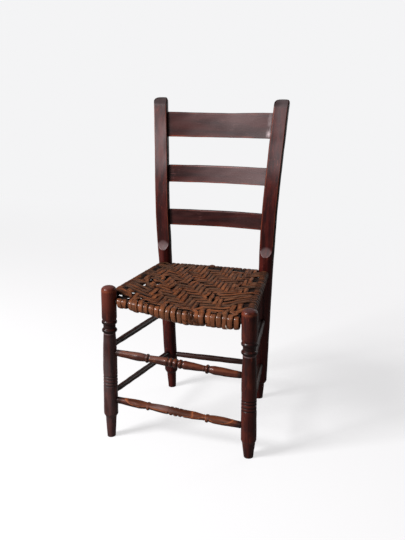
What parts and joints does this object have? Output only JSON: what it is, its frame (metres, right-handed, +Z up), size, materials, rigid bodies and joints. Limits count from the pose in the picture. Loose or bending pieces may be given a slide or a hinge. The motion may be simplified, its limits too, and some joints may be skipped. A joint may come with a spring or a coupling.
{
  "type": "ladder-back side chair",
  "caption": "Worn ladder-back side chair: turned front posts, bent rear posts with bowed slats, round stretchers and a sagging seat woven from bark strips.",
  "frame": {"origin": "middle of the bounding box's floor, between the feet", "axes": "+Z up, -Y the way a sitter faces, +X to the sitter's left"},
  "size_m": [0.439, 0.4568, 0.9138],
  "materials": {
    "post_finish": "dark reddish-brown finish, worn and scuffed, half gloss",
    "slat_finish": "dark reddish-brown finish with a greyish sheen, half gloss",
    "stretcher_finish": "reddish-brown finish worn through to bare wood",
    "rail_wood": "plain dark wood, hidden by the wraps",
    "bark_strip": "old brown bark strips, dry and partly glossy"
  },
  "bodies": {
    "root": {"front_left_post": "post_finish", "front_right_post": "post_finish", "rear_left_post": "post_finish", "rear_right_post": "post_finish", "lower_slat": "slat_finish", "middle_slat": "slat_finish", "top_slat": "slat_finish", "front_upper_stretcher": "stretcher_finish", "front_lower_stretcher": "stretcher_finish", "left_upper_stretcher": "stretcher_finish", "left_lower_stretcher": "stretcher_finish", "right_upper_stretcher": "stretcher_finish", "right_lower_stretcher": "stretcher_finish", "rear_stretcher": "stretcher_finish", "front_seat_rail": "rail_wood", "back_seat_rail": "rail_wood", "left_seat_rail": "rail_wood", "right_seat_rail": "rail_wood", "woven_seat": "bark_strip"}
  },
  "joints": []
}
